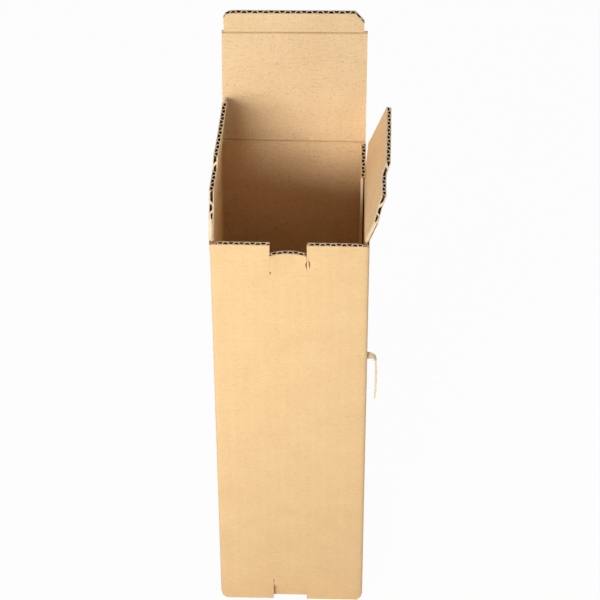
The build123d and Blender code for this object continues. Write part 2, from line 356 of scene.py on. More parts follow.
def swell(across, reach, up, rise):
    """1 in the middle of a soft dent, and almost 0 past its reach and its rise."""
    return math.exp(-((across / reach) ** 2) - (up / rise) ** 2)


print("ramp", [ramp(v, 0, 4) for v in (-1, 1, 2, 5)], "swell", round(swell(1, 1, 0, 1), 3))

# %% The lean of a dust flap
RIGHT_LEAN = math.radians(18.5)
LEFT_BACK_SHIFT, LEFT_FRONT_SHIFT = 4.6, -1.0
FLAP_BACK, FLAP_FRONT, FLAP_HEIGHT = FLAP[0][0], FLAP[-1][0], FLAP[1][1]
CREASE_START, CREASE_ZONE = 328.0, 4.0
UPRIGHT = 1e-4


def lean_at(s):
    """How far a dust flap leans out at this place on the blank."""
    if s >= FRONT_S:
        return RIGHT_LEAN
    part_way = (s - on_left(FLAP_BACK)) / (FLAP_BACK - FLAP_FRONT)
    shift = LEFT_BACK_SHIFT + part_way * (LEFT_FRONT_SHIFT - LEFT_BACK_SHIFT)
    return math.atan(-shift / FLAP_HEIGHT)


def lean_out(n, v, lean):
    """Depth and height of a point on an upper flap that bends outwards about its inner liner."""
    run = v - CREASE_START
    turn = lean * min(run / CREASE_ZONE, 1.0)
    if abs(lean) < UPRIGHT:
        out, up = 0.0, run
    else:
        past = max(0.0, run - CREASE_ZONE)
        out = CREASE_ZONE / lean * (1 - math.cos(turn)) + past * math.sin(lean)
        up = CREASE_ZONE / lean * math.sin(turn) + past * math.cos(lean)
    rest = BOARD - n
    return BOARD - out - rest * math.cos(turn), CREASE_START + up - rest * math.sin(turn)


tip = lean_out(0.0, RIM + FLAP_HEIGHT, RIGHT_LEAN)
print("tip of the right flap:", [round(c, 1) for c in tip], "mm in and up")

# %% [markdown]
# ## Wear, and standing the walls up
# The tab in the notch is pushed in, the free corner of the right wall has sprung out of its glue, the
# front corners are crushed at the rim, and every wall is a little uneven, because board dries and is
# handled. All of this only changes how deep a point lies, so it is added up before the point goes
# around the corners of the plan. Sculpting the finished mesh would look alike but couldn't be repeated.

# %% Pushed in or sprung out
TAB_BOW = 2.4
SPRUNG_GAP, SPRUNG_LENGTH, SPRUNG_HEIGHT, SPRUNG_FADE = 1.4, 20.0, 22.0, 4.0
BULGE, BULGE_Y, BULGE_REACH, BULGE_Z, BULGE_RISE = 0.8, -39.0, 9.0, 331.0, 8.0
DENT, DENT_X, DENT_REACH, DENT_Z, DENT_RISE = 0.35, 11.5, 4.0, 314.0, 8.0


def pushed_in(s, v):
    """How far handling has pushed a point in, and less than nothing where it has sprung out."""
    x_front, y_left, y_right = s - on_front(0), on_left(0) - s, s - on_right(0)
    push = DENT * swell(x_front - DENT_X, DENT_REACH, v - DENT_Z, DENT_RISE)
    if s >= RIGHT_S:
        along, up = ramp(y_right, HALF - SPRUNG_LENGTH, HALF), ramp(v, RIM - SPRUNG_HEIGHT, RIM)
        push -= SPRUNG_GAP * along * up * (1.0 - ramp(v, RIM, RIM + SPRUNG_FADE))
    elif LEFT_S < s < FRONT_S:
        push -= BULGE * swell(y_left - BULGE_Y, BULGE_REACH, v - BULGE_Z, BULGE_RISE)
    if NOTCH_LEFT < x_front < NOTCH_RIGHT and v > RIM - SLIT_END:
        middle, half = (NOTCH_LEFT + NOTCH_RIGHT) / 2, (NOTCH_RIGHT - NOTCH_LEFT) / 2
        bow = 1 - ((x_front - middle) / half) ** 2
        push += TAB_BOW * bow * (v - (RIM - SLIT_END)) / (SLIT_END - NOTCH_DEPTH)
    return push


print("middle of the tab is pushed in by", round(pushed_in(on_front(-0.9), RIM - NOTCH_DEPTH), 2), "mm")

# %% Uneven walls and dipping liners
SWAY, SWAY_BASE, SWAY_AROUND, SWAY_UP, SWAY_SEED = 0.5, 0.55, 0.018, 0.011, 3.7
CALM_LOW, CALM_HIGH = 10.0, 70.0
LINER_DIP = 0.05


def uneven(s, v):
    """A slow wave over the walls, still at the folds and at the foot."""
    for start, end in ((BACK_S, LEFT_S), (LEFT_S, FRONT_S), (FRONT_S, RIGHT_S), (RIGHT_S, END_S)):
        if start <= s <= end:
            free = math.sin(math.pi * (s - start) / (end - start))
            sway = noise.noise(Vector((s * SWAY_AROUND, v * SWAY_UP, SWAY_SEED)))
            return SWAY * free * ramp(v, CALM_LOW, CALM_HIGH) * max(0.0, SWAY_BASE + sway)
    return 0.0


def washboard(s, n):
    """The liners dip a little between the crests of the flutes that they are glued to."""
    crest = math.cos(2 * math.pi * s / PITCH)
    return LINER_DIP * (1 + crest) if n < BOARD / 2 else -LINER_DIP * (1 - crest)


print("middle of the front lies", round(uneven(on_front(0), RIM / 2), 2), "mm in")

# %% Carry a point of the blank to its place
CRUSH, CRUSH_REACH, CRUSH_FROM, CRUSH_FULL = 0.75, 3.2, RIM - 7.0, RIM - 1.0
UNDER_TOP, UNDER_RUN, BEND_UNDER = 40.0, 60.0, 14.0
UNDER = [(0.0, UNDER_TOP), (0.0, FOOT), (UNDER_RUN, FOOT)]


def stand_up(s, n, v):
    """A point of the blank, s around the box, n into the board and v up, on the folded box."""
    corner = min(abs(s - FRONT_S), abs(s - RIGHT_S))
    n *= 1.0 - CRUSH * math.exp(-((corner / CRUSH_REACH) ** 2)) * ramp(v, CRUSH_FROM, CRUSH_FULL)
    q, z = n, v
    on_side = LEFT_S <= s <= FRONT_S or s >= RIGHT_S
    if on_side and v < BEND_UNDER:
        q, z = fold_path(UNDER, UNDER_TOP - v, n)
    elif on_side and v > CREASE_START:
        q, z = lean_out(n, v, lean_at(s))
    q += pushed_in(s, v) + uneven(s, v) + washboard(s, n)
    x, y = fold_path(PLAN, s, q)
    return x, y, z


print("left front corner at the rim:", [round(c, 1) for c in stand_up(FRONT_S, 0.0, RIM)])

# %% [markdown]
# ## The wave of the middle paper
# The fluted paper lies against one liner, slants over and lies against the other. Seen at a cut edge,
# the voids between are dark dashes, each by itself, because the knife has spread the paper where it
# slants and closes the board there. So its two sides have different waves: each leaves its liner only
# over a crest. At folds the flutes are crushed, and beside an upright cut the knife has pressed them.
# The fluted paper and the liner sides turned to it are painted near black, as the shade in the voids.

# %% Sides of the fluted paper
FLUTE_GAP = BOARD - 2 * LINER - MEDIUM
SLANT_LOW, SLANT_HIGH = 0.14, 0.64
PRESSED_SHARE, PRESSED_REACH, CRUSHED_REACH = 0.5, 3.0, 5.0
FLAP_CUT_LOW = RIM - 2.0


def plain_wave(u, v, openness=1.0):
    """The depths of the fluted paper's two sides, with the flutes open by a share."""
    crest = math.cos(2 * math.pi * u / PITCH)
    near, far = (FLUTE_GAP * openness * ramp(side, SLANT_LOW, SLANT_HIGH) for side in (crest, -crest))
    return LINER + near, BOARD - LINER - far


def near_side(distance):
    """How open the flutes are beside a cut that runs along them."""
    return PRESSED_SHARE + (1 - PRESSED_SHARE) * ramp(distance, 0.0, PRESSED_REACH)


def wall_wave(s, v):
    """The wave in the walls, crushed flat at the folds and pressed beside the upright cuts."""
    fold = min(abs(s - start) for start in (BACK_S, LEFT_S, FRONT_S, RIGHT_S))
    cuts = [s, END_S - s]
    if v > FLAP_CUT_LOW and (LEFT_S < s < FRONT_S or s > RIGHT_S):
        y = on_left(0) - s if s < FRONT_S else s - on_right(0)
        back_edge = FLAP_BACK + (v - RIM) / FLAP_HEIGHT * (FLAP[1][0] - FLAP_BACK)
        cuts += [y - FLAP_FRONT, back_edge - y]
    if v > RIM - NOTCH_DEPTH:
        cuts += [max(on_front(NOTCH_LEFT) - s, s - on_front(NOTCH_RIGHT))]
    return plain_wave(s, v, ramp(fold, 0.0, CRUSHED_REACH) * near_side(min(cuts)))


print("flutes are", round(FLUTE_GAP, 2), "mm deep and", PITCH, "mm apart")

# %% The walls
UNDER_ROW, UNDER_STEP, UNDER_FLAP_ROW = 5.2, 0.8, -1.5
wall_rows = [CREASE_START + i for i in range(-1, 6)]
wall_rows += [UNDER_ROW - UNDER_STEP * i for i in range(7)] + [UNDER_FLAP_ROW, BEND_UNDER]
walls = board("walls", BLANK, stand_up, wall_wave, wall_rows)

# %% [markdown]
# ## The bottom
# The bottom lid is folded from the foot of the back wall, runs forward under the lower dust flaps and
# is tucked up behind the front wall, where the lower notch lets it be seen. It is board again, on a
# path that is seen from the side: down, forward and up. The same fold path serves, so nothing new is
# needed but an outline.

# %% Bottom lid and its tuck
BOTTOM_HALF, BOTTOM_TUCK, BOTTOM_INSET, BOTTOM_RADIUS = 43.5, 24.0, 1.5, 1.2
TUCK_EASE, TUCK_CLIP, TUCK_CLIP_TALL = 2, 4, 5
BOTTOM_START = 3 * BOARD
BOTTOM_FOLD = BOTTOM_START + 2 * HALF - BOARD
BOTTOM_END = BOTTOM_FOLD + BOTTOM_TUCK
SIDE_PATH = [(-HALF, BOTTOM_START), (-HALF, 0.0), (HALF - BOARD, 0.0), (HALF - BOARD, BOTTOM_TUCK)]
inset_half = BOTTOM_HALF - BOTTOM_INSET
right_side = [(BOTTOM_HALF, -2 * BOARD), (BOTTOM_HALF, -BOTTOM_FOLD)]
right_side += [(inset_half, -BOTTOM_FOLD - TUCK_EASE), (inset_half, -BOTTOM_END + TUCK_CLIP_TALL)]
right_side += [(inset_half - TUCK_CLIP, -BOTTOM_END)]
BOTTOM = right_side + [(-u, v) for u, v in reversed(right_side)]


def fold_under(u, n, v):
    """A point of the bottom lid: u is across the box and v runs down the blank."""
    back, z = fold_path(SIDE_PATH, -v, n, BOTTOM_RADIUS)
    return u, -back, z


bottom_rows = [-BOTTOM_FOLD + step for step in range(-4, 5)]
bottom_rows += [-BOTTOM_START + step for step in range(-4, 3)]
bottom = board("bottom", BOTTOM, fold_under, plain_wave, bottom_rows)

# %% [markdown]
# ## Lid and tuck flap
# The lid stands up from the back wall and leans a little towards the front. Its tuck flap goes on from
# the lid's far edge, bent further forward. The lid is a little wider at its root, its left side has
# warped and is shorter, and of the tuck flap's corners one is round and the other clipped. Both are made
# upright and then tipped about their creases, as the real ones are.

# %% Places on the lid and the tuck flap
HINGE_Z, LID_LENGTH = 334.0, 90.0
LID_TILT, TUCK_BEND = math.radians(2.7), math.radians(8.0)
LID_TWIST, LID_SKEW, LID_CUP = 0.2, 1.0, 0.35


def tip_forward(y, z, pivot_y, pivot_z, angle):
    """Depth and height, turned about a pivot."""
    dy, dz = y - pivot_y, z - pivot_z
    return (
        pivot_y + dy * math.cos(angle) - dz * math.sin(angle),
        pivot_z + dy * math.sin(angle) + dz * math.cos(angle),
    )


def lean_with_lid(u, y, z, share=1.0):
    return (u, *tip_forward(y, z, HALF, HINGE_Z, LID_TILT * share))


def bend_with_tuck(y, z, share=1.0):
    return tip_forward(y, z, HALF, HINGE_Z + LID_LENGTH, TUCK_BEND * share)


def cupped(u, a):
    """The lid is slightly cupped across its width and along its length."""
    across = math.sin(math.pi * (u - LID_LEFT) / (LID_RIGHT - LID_LEFT))
    return LID_CUP * across * math.sin(math.pi * a / LID_LENGTH)


def flat_place(u, n, a):
    """Depth and height on the upright lid, a above its hinge, whose left side is warped and shorter."""
    askew = (LID_RIGHT - u) / (LID_RIGHT - LID_LEFT) * max(0.0, a) / LID_LENGTH
    return HALF - n - LID_TWIST * askew, HINGE_Z + a - LID_SKEW * askew


def lid_place(u, n, a):
    return lean_with_lid(u, *flat_place(u, n + cupped(u, a) + washboard(u, n), a))


def tuck_place(u, n, a):
    return lean_with_lid(u, *bend_with_tuck(*flat_place(u, n + washboard(u, n), a)))


print("far edge of the lid:", [round(c, 1) for c in lid_place(0.0, 0.0, LID_LENGTH)])

# %% Lid and tuck flap
LID_START, LID_END, LID_FLUTE_ROW = 1.0, 86.5, 30.0
TUCK_START, TUCK_END, TUCK_FLUTE_ROW = 91.0, 104.5, 7.0
TUCK_LEFT, TUCK_RIGHT = -41.2, 42.0
TUCK_ROUND, ROUND_STEPS = 6.0, 8
CLIP_WIDE, CLIP_TALL = 5.5, 8.5
LID = [(LID_ROOT, LID_START), (LID_RIGHT, LID_START), (LID_RIGHT, LID_END), (LID_LEFT, LID_END)]
TUCK = [(TUCK_LEFT, TUCK_START), (TUCK_RIGHT, TUCK_START)]
TUCK += [(TUCK_RIGHT, TUCK_END - CLIP_TALL), (TUCK_RIGHT - CLIP_WIDE, TUCK_END)]
for step in range(ROUND_STEPS + 1):
    angle = math.pi / 2 * step / ROUND_STEPS
    across, down = TUCK_ROUND * (1 - math.sin(angle)), TUCK_ROUND * (1 - math.cos(angle))
    TUCK.append((TUCK_LEFT + across, TUCK_END - down))


def lid_wave(u, a):
    left = LID_ROOT + (LID_LEFT - LID_ROOT) * a / LID_LENGTH
    return plain_wave(u, a, near_side(min(u - left, LID_RIGHT - u)))


def tuck_wave(u, a):
    return plain_wave(u, a, near_side(min(u - TUCK_LEFT, TUCK_RIGHT - u)))


lid = board("lid", LID, lid_place, lid_wave, (), LID_FLUTE_ROW)
tuck = board("tuck_flap", TUCK, tuck_place, tuck_wave, (), TUCK_FLUTE_ROW)

# %% [markdown]
# ## The creases
# A crease is a line pressed into the board from the inside. The outer liner runs straight over it, and
# the inner one is pushed into a groove with a low bead beside it, and along the groove it is painted
# darker, both for its pressed fibres and as painted shade in the groove. They are narrow sheets of their
# own, between the panels, because one sheet over lid and wall would tear there.

# %% Crease skins
EDGE_STEP = 1.0, 1.5
EVEN_ROWS, GROOVE_ROW, ROWS_BELOW, ROWS_ABOVE = 9, 0.2, 7, 5
GROOVE_WIDE, LINE_HALF = 0.5, 0.42
BEAD_SHARE, BEAD_BELOW, BEAD_WIDE = 0.3, 0.85, 0.4


def crease_sheet(name, left, right, low, high, place, depth, thickness, groove=0.0, line=0.0):
    """A narrow sheet over a crease from low to high, pressed in by groove along a line. left and
    right each give the edge's place below the line and above it."""
    outline = [(left[0], low), (right[0], low), (right[0], high), (left[0], high)]
    if left[0] != left[1]:
        under, over = (low + step for step in EDGE_STEP)
        outline = [(left[0], low), (right[0], low), (right[0], under), (right[1], over)]
        outline += [(right[1], high), (left[1], high), (left[1], over), (left[0], under)]
    rows = [low + (high - low) * i / EVEN_ROWS for i in range(1, EVEN_ROWS)]
    fine = [line + GROOVE_ROW * i for i in range(-ROWS_BELOW, ROWS_ABOVE + 1)]
    rows += [row for row in fine if low < row < high]

    def pressed_place(u, n, a):
        valley = groove * math.exp(-(((a - line) / GROOVE_WIDE) ** 2))
        bead = BEAD_SHARE * groove * math.exp(-(((a - line + BEAD_BELOW) / BEAD_WIDE) ** 2))
        return place(u, n - valley + bead, a)

    # The groove's line takes the darker crease paper: pressed fibres, and painted shade in the groove.
    groove_shade = (line - LINE_HALF, line + LINE_HALF) if groove else None
    sides = flat(depth, thickness)
    return fold_paper(name, outline, pressed_place, sides, PITCH, LINER_ROW, rows, pressed=groove_shade)


def lid_crease_place(u, n, a):
    """Upright on the wall below the hinge, leaning with the lid above it."""
    return lean_with_lid(u, *flat_place(u, n, a), ramp(a, 0.0, LID_START))


def tuck_crease_place(u, n, a):
    """Leaning with the lid, and bending with the tuck flap more and more."""
    return lean_with_lid(u, *bend_with_tuck(*flat_place(u, n, a), ramp(a, LID_END, TUCK_START)))


# %% The lid's crease and the tuck flap's
CREASE_LOSS = 0.95
CRUSHED = BOARD - 2 * LINER - CREASE_LOSS
LID_GROOVE, LID_LINE = 0.9, -2.7
TUCK_GROOVE, TUCK_LINE = 0.8, 87.3
crease_low, crease_high = BACK_TOP - HINGE_Z, LID_START
lid_ends = (LID_ROOT, LID_ROOT), (LID_RIGHT, LID_RIGHT), crease_low, crease_high, lid_crease_place
lid_creases = [
    crease_sheet("lid_crease_outer", *lid_ends, 0.0, LINER),
    crease_sheet("lid_crease_inner", *lid_ends, BOARD - LINER, LINER, LID_GROOVE, LID_LINE),
    crease_sheet("lid_crease_flutes", *lid_ends, LINER, CRUSHED),
]
tuck_ends = (LID_LEFT, TUCK_LEFT), (LID_RIGHT, TUCK_RIGHT), LID_END, TUCK_START, tuck_crease_place
inset_ends = (TUCK_LEFT, TUCK_LEFT), (TUCK_RIGHT, TUCK_RIGHT), *tuck_ends[2:]
tuck_creases = [
    crease_sheet("tuck_crease_outer", *inset_ends, 0.0, LINER),
    crease_sheet("tuck_crease_inner", *tuck_ends, BOARD - LINER, LINER, TUCK_GROOVE, TUCK_LINE),
    crease_sheet("tuck_crease_flutes", *inset_ends, LINER, CRUSHED),
]

# %% [markdown]
# ## The torn strip
# A narrow strip of board has been torn out of the right wall. It comes out of the wall with its face
# tipped forward, turns over and hangs down. A curve with a bevel would be too even, so it is a short
# sheet on a path of its own, which tapers and wanders a little.

# %% Torn strip
STRIP_Y, STRIP_Z, STRIP_WIDE, STRIP_THICK = -43.0, 233.5, 2.4, 1.1
STRIP_ROOT, STRIP_OUT, STRIP_TURN, STRIP_DROP = 1.0, 0.3, 5.1, 38.6
STRIP_TAPER, STRIP_WANDER, STRIP_SAG, STRIP_DRIFT = 0.35, 0.35, 0.35, 0.012
STRIP_FACING, FACING_REACH = 1.2, 1.6
WANDER_ALONG, WANDER_ACROSS, WANDER_SEED = 0.21, 0.8, 1.3
STRIP_BEND = STRIP_TURN * math.pi / 2
STRIP_LONG = STRIP_OUT + STRIP_ROOT + STRIP_BEND + STRIP_DROP - STRIP_TURN


def strip_place(u, n, a):
    """a runs along the strip from inside the wall, u is its width and n its thickness."""
    taper = 1.0 - STRIP_TAPER * (a / STRIP_LONG) ** 2
    wander = STRIP_WANDER * noise.noise(Vector((a * WANDER_ALONG, u * WANDER_ACROSS, WANDER_SEED)))
    lift = n - STRIP_THICK / 2
    run = a - STRIP_ROOT - STRIP_OUT
    tipped = STRIP_FACING * u * (1.0 - ramp(run, 0.0, FACING_REACH * STRIP_BEND))
    if run < 0:
        out, up = run, lift
    elif run < STRIP_BEND:
        turn = run / STRIP_TURN
        out = (STRIP_TURN + lift) * math.sin(turn)
        up = (STRIP_TURN + lift) * math.cos(turn) - STRIP_TURN
    else:
        hung = run - STRIP_BEND
        out = STRIP_TURN + lift + STRIP_SAG * math.sin(math.pi * hung / STRIP_DROP) - STRIP_DRIFT * hung
        up = -STRIP_TURN - hung
    return HALF + STRIP_OUT + out + wander, STRIP_Y + u * taper + wander, STRIP_Z + up + tipped


STRIP = [(-STRIP_WIDE / 2, 0), (STRIP_WIDE / 2, 0), (STRIP_WIDE / 2, STRIP_LONG - 3)]
STRIP += [(0.4, STRIP_LONG - 0.5), (0.05, STRIP_LONG - 1.6), (-0.5, STRIP_LONG)]
STRIP += [(-STRIP_WIDE / 2, STRIP_LONG - 2)]
STRIP_COLUMN, STRIP_ROW = 0.4, 0.9
strip = fold_paper("torn_strip", STRIP, strip_place, flat(0.0, STRIP_THICK), STRIP_COLUMN, STRIP_ROW)

# %% [markdown]
# ## The torn liner beside the slit
# Pulling the tab in has torn the outer liner beside the right slit. A flake of it curls up there, and
# past the flake a thin dark sheet paints the flake's shadow. Both lie on the front wall and are
# carried by the same function, so they stay on it whatever its wear.

# %% Torn flake and its painted shadow
FLAKE_LIFT, FLAKE_REACH, FLAKE_LOW, FLAKE_HIGH = 0.35, 1.3, 310.5, 313.5
FLAKE_THICK, SHADOW_LIFT, SHADOW_THICK = 0.15, 0.2, 0.04
TORN_COLUMN, TORN_ROW = 0.25, 0.5


def flake_place(s, n, v):
    slit = on_front(NOTCH_RIGHT)
    free = ramp(s, slit, slit + FLAKE_REACH) * ramp(v, FLAKE_LOW, FLAKE_HIGH)
    return stand_up(s, n - FLAKE_LIFT * free, v)


def beside_slit(points):
    return [(on_front(NOTCH_RIGHT + x), v) for x, v in points]


FLAKE = beside_slit([(0.1, 312.2), (0.7, 310.8), (1.3, 311.8), (1.35, 314.2), (0.8, 315.9), (0.05, 316.4)])
# A thin dark sheet past the flake: the flake's painted shadow.
FLAKE_SHADOW = [(0.85, 318.2), (1.55, 317.0), (1.95, 315.4), (1.9, 313.4), (1.5, 311.0)]
FLAKE_SHADOW = beside_slit(FLAKE_SHADOW + [(1.5, 313.2), (1.5, 315.2), (1.15, 316.8)])
flake_sides, shadow_sides = flat(-FLAKE_THICK, FLAKE_THICK), flat(-SHADOW_LIFT, SHADOW_THICK)
flake = fold_paper("torn_flake", FLAKE, flake_place, flake_sides, TORN_COLUMN, TORN_ROW)
flake_shadow = fold_paper("flake_shadow_line", FLAKE_SHADOW, stand_up, shadow_sides, TORN_COLUMN, TORN_ROW)

# %% [markdown]
# ## Shader maths as plain sums
# Writing node trees by hand hides the idea behind them. This small class wraps a socket, so that a
# sum in Python adds the Math nodes for it.

# %% A socket that can be added and multiplied
class Wire:
    """A value in a node tree. Sums, differences and products of wires add Math nodes."""

    tree = None

    def __init__(self, socket):
        self.socket = socket

    @classmethod
    def node(cls, kind, settings=None, inputs=None, output=0):
        """Any other node: its type, its settings, and the values or wires of its sockets."""
        made = cls.tree.nodes.new(kind)
        for name, value in (settings or {}).items():
            setattr(made, name, value)
        for name, value in (inputs or {}).items():
            if isinstance(value, Wire):
                cls.tree.links.new(value.socket, made.inputs[name])
            else:
                made.inputs[name].default_value = value
        return None if output is None else cls(made.outputs[output])

    def maths(self, operation, other=0.0, swap=False):
        first, second = (other, self) if swap else (self, other)
        return Wire.node("ShaderNodeMath", {"operation": operation}, {0: first, 1: second})

    def __add__(self, other):
        return self.maths("ADD", other)

    __radd__ = __add__

    def __mul__(self, other):
        return self.maths("MULTIPLY", other)

    __rmul__ = __mul__

    def __sub__(self, other):
        return self.maths("SUBTRACT", other)

    def __rsub__(self, other):
        return self.maths("SUBTRACT", other, swap=True)

    def sine(self):
        return self.maths("SINE")

    def clipped(self, low, high):
        """0 at low and below, 1 at high and above."""
        ends = {"Value": self, "From Min": low, "From Max": high}
        return Wire.node("ShaderNodeMapRange", {"clamp": True}, ends)


def fresh_tree(owner):
    """Empty the node tree of a material or a world, and let new nodes go into it."""
    owner.use_nodes = True
    owner.node_tree.nodes.clear()
    Wire.tree = owner.node_tree


def mix(share, first, second):
    """One colour towards another by share."""
    colours = {"Factor": share, 6: first, 7: second}
    return Wire.node("ShaderNodeMix", {"data_type": "RGBA"}, colours, output=2)


def cloud(place, scale, detail, rough, stretch=(1.0, 1.0, 1.0)):
    """Soft noise on object coordinates, finer along an axis by its stretch."""
    stretched = Wire.node("ShaderNodeMapping", None, {"Vector": place, "Scale": stretch})
    wanted = {"Vector": stretched, "Scale": scale, "Detail": detail, "Roughness": rough}
    return Wire.node("ShaderNodeTexNoise", None, wanted)


# %% [markdown]
# ## Kraft paper
# Kraft liner is brown, uncoated and matt. Its fibres lie along the paper machine, which here runs
# around the box, so it has fine level streaks. Faint darker upright lines over the flutes are painted
# shade of the washboard dips, and darker fibres and lighter flecks are scattered over it. The cut edges
# are paler, because the knife leaves the inside of the paper open, and they are painted lighter still
# as the highlight on edges that face up. A pressed crease is painted darker, for its pressed fibres and
# for the shade in its groove, and the fluted paper is painted near black as the shade inside the voids.
# Noise that is stretched on object coordinates makes all of these, and the same function then makes
# every paper from its own four tones.

# %% One kraft paper
STREAKS = (110.0, 110.0, 620.0)
LEVEL_FIBRES = (300.0, 300.0, 1150.0)
UPRIGHT_FIBRES = (1000.0, 1000.0, 330.0)
CLOUD_SCALE, GRAIN_SCALE, SPECK_SCALE = 42.0, 1500.0, 1050.0
BUMP_STRENGTH, BUMP_DEPTH = 0.2, 0.0003
ROUGHNESS, ROUGHER, SPECULAR = 0.8, 0.15, 0.2


def kraft(name, tones, flecked, washboard_shade, specked=0.0):
    """A kraft paper: a light and a dark tone in soft clouds, then a pale and a dark one for the fibres.

    flecked says how strongly the fibres show and specked the specks. The other strength is for the faint
    upright lines of painted shade over the flutes, which stand in for the shade of the washboard dips.
    """
    light, dark, pale_fleck, dark_fleck = ((*tone, 1.0) for tone in tones)
    material = bpy.data.materials.new(name)
    fresh_tree(material)
    place = Wire.node("ShaderNodeTexCoord", output=3)
    x = Wire.node("ShaderNodeSeparateXYZ", None, {"Vector": place}, output=0)
    y = Wire.node("ShaderNodeSeparateXYZ", None, {"Vector": place}, output=1)
    cloudy = cloud(place, CLOUD_SCALE, detail=5.0, rough=0.62)
    streak = cloud(place, 1.0, detail=4.0, rough=0.6, stretch=STREAKS)
    level_fibre = cloud(place, 1.0, detail=3.0, rough=0.65, stretch=LEVEL_FIBRES)
    upright_fibre = cloud(place, 1.0, detail=3.0, rough=0.65, stretch=UPRIGHT_FIBRES)
    grain = cloud(place, GRAIN_SCALE, detail=2.0, rough=0.6)
    # Painted shade: a wave at the flute pitch darkens faint upright lines, for the shade of the washboard
    # dips.
    flute = ((x + y) * (2 * math.pi / (PITCH * MM))).sine() * 0.5 + 0.5
    tone = cloudy * 0.7 + streak * 0.3
    colour = mix(tone.clipped(0.33, 0.68), dark, light)
    colour = mix(flute * washboard_shade, colour, dark)
    pale = level_fibre.clipped(0.585, 0.70) + upright_fibre.clipped(0.62, 0.72) * 0.7
    deep = (1 - level_fibre).clipped(0.595, 0.70) + (1 - upright_fibre).clipped(0.62, 0.72) * 0.8
    colour = mix(pale.clipped(0.0, 1.0) * flecked, colour, pale_fleck)
    colour = mix(deep.clipped(0.0, 1.0) * grain.clipped(0.36, 0.6) * flecked * 1.15, colour, dark_fleck)
    specks = cloud(place, SPECK_SCALE, detail=1.0, rough=0.5)
    colour = mix(specks.clipped(0.64, 0.74) * specked, colour, dark_fleck)
    colour = mix((1 - specks).clipped(0.66, 0.76) * specked, colour, pale_fleck)
    height = streak * 0.25 + level_fibre * 0.4 + grain * 0.35
    relief = {"Strength": BUMP_STRENGTH, "Distance": BUMP_DEPTH, "Height": height}
    finish = {"Base Color": colour, "Roughness": ROUGHNESS + ROUGHER * grain, "Specular IOR Level": SPECULAR}
    finish["Normal"] = Wire.node("ShaderNodeBump", None, relief)
    shader = Wire.node("ShaderNodeBsdfPrincipled", None, finish)
    Wire.node("ShaderNodeOutputMaterial", None, {"Surface": shader}, output=None)
    return material


# %% The five papers
outer_tones = (0.90, 0.62, 0.325), (0.83, 0.555, 0.275), (0.97, 0.72, 0.42), (0.60, 0.37, 0.165)
inner_tones = (0.93, 0.665, 0.385), (0.84, 0.585, 0.32), (0.99, 0.76, 0.49), (0.42, 0.27, 0.125)
# Near-black tones: painted shade for the flute voids, not the brown of the real fluted paper.
painted_shade_tones = (0.10, 0.06, 0.032), (0.06, 0.036, 0.02), (0.16, 0.10, 0.055), (0.04, 0.025, 0.014)
# Pale tones for cut edges: the paler cut fibres, painted lighter still as the highlight on edges that face
# up.
pale_and_highlight_tones = (0.93, 0.75, 0.52), (0.84, 0.63, 0.40), (0.98, 0.86, 0.66), (0.52, 0.34, 0.18)
# Darker tones for the crease groove: its pressed fibres, and painted shade in the groove.
crease_shade_tones = (0.74, 0.51, 0.28), (0.63, 0.42, 0.22), (0.86, 0.62, 0.37), (0.42, 0.27, 0.13)
outer_kraft = kraft("outer_kraft", outer_tones, flecked=0.46, washboard_shade=0.10, specked=0.25)
inner_kraft = kraft("inner_kraft", inner_tones, flecked=0.55, washboard_shade=0.15, specked=0.45)
painted_shade_kraft = kraft("painted_shade_kraft", painted_shade_tones, flecked=0.3, washboard_shade=0.0)
pale_and_highlight_kraft = kraft("pale_and_highlight_kraft", pale_and_highlight_tones, flecked=0.5, washboard_shade=0.0)
crease_shade_kraft = kraft("crease_shade_kraft", crease_shade_tones, flecked=0.5, washboard_shade=0.0)
print("materials", [m.name for m in (outer_kraft, inner_kraft, painted_shade_kraft, pale_and_highlight_kraft, crease_shade_kraft)])

# %% [markdown]
# ## Which paper has which finish, and which body it moves with
# The papers of the walls and the bottom stay with the box, those of the lid and of the tuck flap move
# with them, and the creases stay where they are made. For each crease the ends of a bend are worked out:
# the highest point of its lower edge and the lowest point of its upper edge.

# %% Finish and ride
# The third slot is painted shade: near-black paper for the flute voids, or the darker crease paper.
def dress(piece, face_finish, shade_finish=painted_shade_kraft):
    for finish in (face_finish, pale_and_highlight_kraft, shade_finish):
        piece.data.materials.append(finish)


standing = (walls, "box", "box_body"), (bottom, "box", "box_body")
moving = (lid, "lid", "lid"), (tuck, "tuck", "tuck_flap")
for papers, body, node in standing + moving:
    for paper, finish in zip(papers, (outer_kraft, inner_kraft, painted_shade_kraft)):
        dress(paper, finish)
        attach(paper, body)
        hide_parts(node)
# The dark sheet past the flake takes the near-black paper, as the flake's painted shadow.
for torn, finish in ((strip, pale_and_highlight_kraft), (flake, inner_kraft), (flake_shadow, painted_shade_kraft)):
    dress(torn, finish)
    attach(torn, "box")
    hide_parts("box_body")
lid_bend = lid_crease_place(LID_RIGHT, 0, crease_low), lid_crease_place(LID_ROOT, 0, crease_high)
tuck_bend = tuck_crease_place(LID_RIGHT, 0, LID_END), tuck_crease_place(LID_LEFT, 0, TUCK_START)
creases = (lid_creases, "box", "lid", lid_bend), (tuck_creases, "lid", "tuck", tuck_bend)
for skins, near_body, far_body, ends in creases:
    for skin, finish in zip(skins, (outer_kraft, inner_kraft, pale_and_highlight_kraft)):
        dress(skin, finish, crease_shade_kraft)
        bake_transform(skin)
print("bends run from and to", [[round(c, 1) for c in point[1:]] for point in lid_bend + tuck_bend])

# %% [markdown]
# ## Floor and background
# The box stands on a white floor that goes over into a white background. More light would bleach the
# board, so the white comes from what a ray is for: rays that are looked along see white, and all other
# rays meet a plain matt floor and a dim world.

